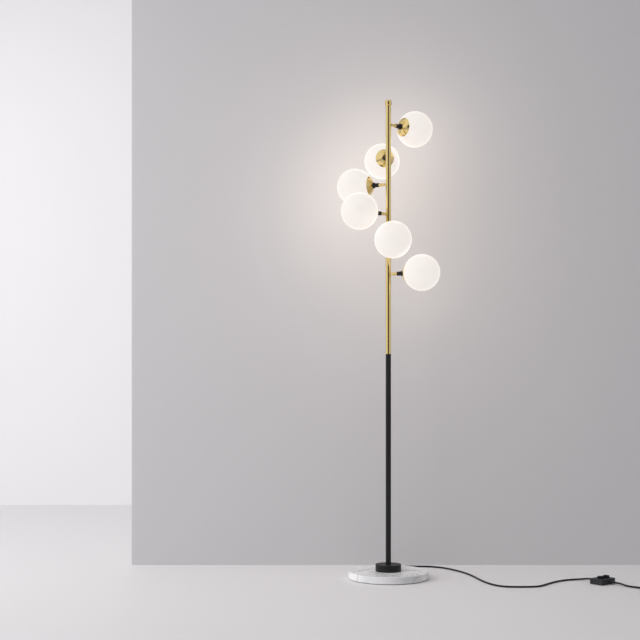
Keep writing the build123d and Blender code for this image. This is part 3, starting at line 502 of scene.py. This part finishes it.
# %% A row becomes a plain mesh at its place
def lay_row(name, tree, finish, start, row_way, across_way, count, spacing, reach, thickness,
            last_size=1.0):
    """Runs the tree with these sizes (lengths in mm) and puts the row at its start."""
    maker = bpy.data.objects.new(name + "_maker", bpy.data.meshes.new(name + "_maker"))
    bpy.context.scene.collection.objects.link(maker)
    modifier = maker.modifiers.new("row", "NODES")
    modifier.node_group = tree
    values = {"Count": count, "Spacing": spacing * MM, "Reach": reach * MM,
              "Thickness": thickness * MM, "Last Size": last_size, "Finish": finish}
    for socket in tree.interface.items_tree:
        if socket.in_out == "INPUT":
            modifier[socket.identifier] = values[socket.name]
    evaluated = maker.evaluated_get(bpy.context.evaluated_depsgraph_get())
    mesh = bpy.data.meshes.new_from_object(evaluated)
    bpy.data.objects.remove(maker)
    mesh.materials.clear()
    mesh.materials.append(finish)
    mesh.polygons.foreach_set("material_index", [0] * len(mesh.polygons))
    axes = Matrix((across_way, row_way.cross(across_way), row_way)).transposed().to_4x4()
    mesh.transform(Matrix.Translation(Vector(start) * MM) @ axes)
    mesh.shade_smooth()
    piece = bpy.data.objects.new(name, mesh)
    bpy.context.scene.collection.objects.link(piece)
    print(name, len(mesh.polygons), "faces of", finish.name)
    return piece


# %% Rings on the strain reliefs, bars on the pedals
UP, BACKWARDS = Vector((0, 0, 1)), Vector((0, 1, 0))
RELIEF_START, FIRST_BAR, BAR_SUNK, PLUG_RELIEF_START = 31.5, -4.0, 0.25, 3.0
base_ribs = lay_row("base_gland_ribs", ring_row, vinyl_sheath, (0, 157, BASE_GLAND_HEIGHT),
                    BACKWARDS, UP, count=6, spacing=3.8, reach=5.02, thickness=0.7, last_size=0.865)
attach(base_ribs, "lamp_frame")

switch_ribs, pedal_grips = [], []
for number, side in enumerate((1, -1), start=1):
    outwards = Vector((*(across_switch * side), 0))
    ribs = lay_row(f"switch_gland_ribs_{number}", ring_row, grained_plastic,
                   switch_port(side, RELIEF_START), outwards, UP,
                   count=5, spacing=3.5, reach=4.87, thickness=0.6, last_size=0.883)
    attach(ribs, "lamp_frame")
    switch_ribs.append(ribs)

    low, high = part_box(f"switch_pedal_{number}")
    along, across = Vector((*along_switch, 0)), Vector((*across_switch, 0))
    middle = (low + high) / 2 / MM
    first = Vector((middle.x, middle.y, high.z / MM - BAR_SUNK)) + along * FIRST_BAR
    grip = lay_row(f"pedal_grip_{number}", bar_row, dark_pedal, first, along, across,
                   count=3, spacing=4.0, reach=6.5, thickness=0.75)
    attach(grip, f"pedal_{number}")
    pedal_grips.append(grip)

plug_ribs = lay_row("plug_relief_ribs", ring_row, plug_plastic,
                    coil_end + heading * PLUG_RELIEF_START, heading, UP,
                    count=5, spacing=4.0, reach=4.45, thickness=0.7, last_size=1.292)
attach(plug_ribs, "lamp_frame")

# %% Say where the coil ends
print("coil ends at", [round(value, 2) for value in coil_end])

# %% [markdown]
# ### What shows when a glass is off
# Under each glass sit a brass carrier with a ring, a ceramic socket and the bulb. Inside the pole and
# the base are steel parts and wires, which only an exploded view shows.

# %% Steel, ceramic, bulbs and wires
def plain_finish(name, colour, shine, metal=0.0, grain=300.0):
    """A finish with a little variation in colour and roughness."""
    material, tree, shader = new_material(name)
    place = object_place(tree)
    cloud = noise(tree, place, grain, 4.0)
    darker = tuple(value * 0.85 for value in colour)
    tree.links.new(mix_colours(tree, cloud, colour, darker), shader.inputs["Base Color"])
    tree.links.new(to_range(tree, cloud, shine - 0.05, shine + 0.05), shader.inputs["Roughness"])
    set_values(shader, Metallic=metal)
    return material


dress(plain_finish("turned_brass", (0.75, 0.58, 0.27), 0.3, 1.0), "globe_galleries")
dress(plain_finish("zinc_plated_steel", (0.62, 0.62, 0.6), 0.32, 1.0), "base_washer", "base_nut",
      "tie_tube", "set_screw", "pole_foot_plug", "switch_screws", "pedal_spring_1",
      "pedal_spring_2")
dress(plain_finish("nickel_plating", (0.72, 0.71, 0.69), 0.16, 1.0), "plug_pins")
dress(plain_finish("glazed_ceramic", (0.85, 0.84, 0.8), 0.3), "g9_sockets")
dress(plain_finish("bulb_cover", (0.92, 0.9, 0.82), 0.2), "led_bulbs")
dress(plain_finish("wire_insulation", (0.4, 0.25, 0.16), 0.45), "supply_wires", "branch_wires")

# %% [markdown]
# ## Floor, walls and light
# The lamp stands on a pale floor in front of a grey wall whose left edge shows in the picture, with a
# white wall further back. All are stage, not lamp. The walls can only be seen from the front, so that
# they never hide the lamp.

# %% Floor and walls
def stage_plane(name, corners, colour, shine, one_sided=False):
    """A flat piece of the stage."""
    mesh = bpy.data.meshes.new(name)
    mesh.from_pydata(corners, [], [tuple(range(len(corners)))])
    plane = bpy.data.objects.new(name, mesh)
    bpy.context.scene.collection.objects.link(plane)
    material, tree, shader = new_material(name + "_paint")
    set_values(shader, Base_Color=(*colour, 1.0), Roughness=shine, Specular_IOR_Level=0.2)
    if one_sided:
        side = tree.nodes.new("ShaderNodeNewGeometry")
        clear = tree.nodes.new("ShaderNodeBsdfTransparent")
        choose = tree.nodes.new("ShaderNodeMixShader")
        tree.links.new(side.outputs["Backfacing"], choose.inputs["Fac"])
        tree.links.new(shader.outputs["BSDF"], choose.inputs[1])
        tree.links.new(clear.outputs["BSDF"], choose.inputs[2])
        tree.links.new(choose.outputs["Shader"], tree.nodes["Material Output"].inputs["Surface"])
    mesh.materials.append(material)
    return plane


def upright(left, right, y, top):
    """Corners of a wall that faces the camera."""
    return [(left, y, 0), (right, y, 0), (right, y, top), (left, y, top)]


WALL_LEFT, WALL_RIGHT, WALL_Y, WALL_TOP = -1.0188, 6, 0.323, 4
FAR_HALF_WIDTH, FAR_Y, FAR_TOP, FLOOR_HALF_WIDTH = 9, 2.7, 7, 40
floor_corners = [(x * FLOOR_HALF_WIDTH, y * FLOOR_HALF_WIDTH, 0)
                 for x, y in ((-1, -1), (1, -1), (1, 1), (-1, 1))]
stage_plane("floor", floor_corners, (0.755, 0.745, 0.755), 0.5)
wall = stage_plane("wall", upright(WALL_LEFT, WALL_RIGHT, WALL_Y, WALL_TOP),
                   (0.60, 0.59, 0.605), 0.7, one_sided=True)
far_wall = stage_plane("far_wall", upright(-FAR_HALF_WIDTH, FAR_HALF_WIDTH, FAR_Y, FAR_TOP),
                       (0.93, 0.92, 0.93), 0.7, one_sided=True)
wall.visible_shadow = far_wall.visible_shadow = False

# %% [markdown]
# The room is bright on the left and dim behind the camera. Polished tubes show that as a bright edge
# and a dark line down the middle, which is what makes them read as metal. Mirrored rays see the two
# sides of the room more alike, and its front darker, than the light that falls on the walls does.

# %% The room's light
world = bpy.data.worlds.new("studio")
bpy.context.scene.world = world
world.use_nodes = True
tree = world.node_tree
background = tree.nodes["Background"]
direction = tree.nodes.new("ShaderNodeTexCoord")


def facing(target):
    """How far the looked-at direction points towards a target direction, from -1 to 1."""
    node = tree.nodes.new("ShaderNodeVectorMath")
    node.operation = "DOT_PRODUCT"
    tree.links.new(direction.outputs["Generated"], node.inputs[0])
    node.inputs[1].default_value = Vector(target).normalized()
    return node.outputs["Value"]


path = tree.nodes.new("ShaderNodeLightPath")
mirrored = tree.nodes.new("ShaderNodeMath")
mirrored.operation = "MAXIMUM"
tree.links.new(path.outputs["Is Glossy Ray"], mirrored.inputs[0])
tree.links.new(path.outputs["Is Transmission Ray"], mirrored.inputs[1])
left_light = to_range(tree, facing((-1, -0.25, 0.25)), 0.0, 1.0, -0.2, 0.75)
dark_front = to_range(tree, facing((-0.05, -1, -0.05)), 0.0, 1.0, 0.82, 0.93)
right_side = mix_colours(tree, mirrored.outputs[0], (0.29, 0.29, 0.295), (0.62, 0.61, 0.62))
left_side = mix_colours(tree, mirrored.outputs[0], (1.0, 0.99, 1.0), (0.86, 0.85, 0.86))
room = mix_colours(tree, left_light, right_side, left_side)
front = mix_colours(tree, mirrored.outputs[0], (0.28, 0.28, 0.28), (0.010, 0.009, 0.008))
room = mix_colours(tree, dark_front, room, front)
seen = mix_colours(tree, path.outputs["Is Camera Ray"], room, (0.81, 0.79, 0.81))
tree.links.new(seen, background.inputs["Color"])
set_values(background, Strength=1.0)


# %% Soft light from the left, and the bulbs' own light
DAYLIGHT, BULB_LIGHT = (1.0, 0.99, 1.0), (1.0, 0.86, 0.70)
BULB_POWER, BULB_GLOW_RADIUS = 0.85, 0.05


def soft_panel(name, place, target, width, height, power):
    """A rectangular soft light aimed at a target, that polished metal doesn't show."""
    data = bpy.data.lights.new(name, "AREA")
    data.shape = "RECTANGLE"
    data.size, data.size_y = width, height
    data.energy = power
    data.color = DAYLIGHT
    lamp = bpy.data.objects.new(name, data)
    lamp.location = place
    lamp.rotation_euler = (Vector(target) - Vector(place)).to_track_quat("-Z", "Y").to_euler()
    lamp.visible_glossy = False
    bpy.context.scene.collection.objects.link(lamp)


soft_panel("left_window", (-3.4, -1.9, 2.1), (-0.3, 0, 0.6), 4.2, 3.6, 72.0)
soft_panel("left_fill", (-2.7, 0.5, 2.3), (-2.0, 2.5, 0.0), 2.4, 2.4, 14.0)
for k in lights:
    low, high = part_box(f"globe_{k}")
    glow = bpy.data.lights.new(f"bulb_light_{k}", "POINT")
    glow.energy = BULB_POWER
    glow.shadow_soft_size = BULB_GLOW_RADIUS
    glow.color = BULB_LIGHT
    lamp = bpy.data.objects.new(f"bulb_light_{k}", glow)
    lamp.location = (low + high) / 2
    bpy.context.scene.collection.objects.link(lamp)
    nodes[f"globe_{k}"].visible_shadow = False
for name in ("led_bulbs", "g9_sockets"):
    nodes[name].visible_shadow = False

# %% [markdown]
# ## The colour view
# Colours are shown as they are written, with the standard view transform.

bpy.context.scene.view_settings.view_transform = "Standard"
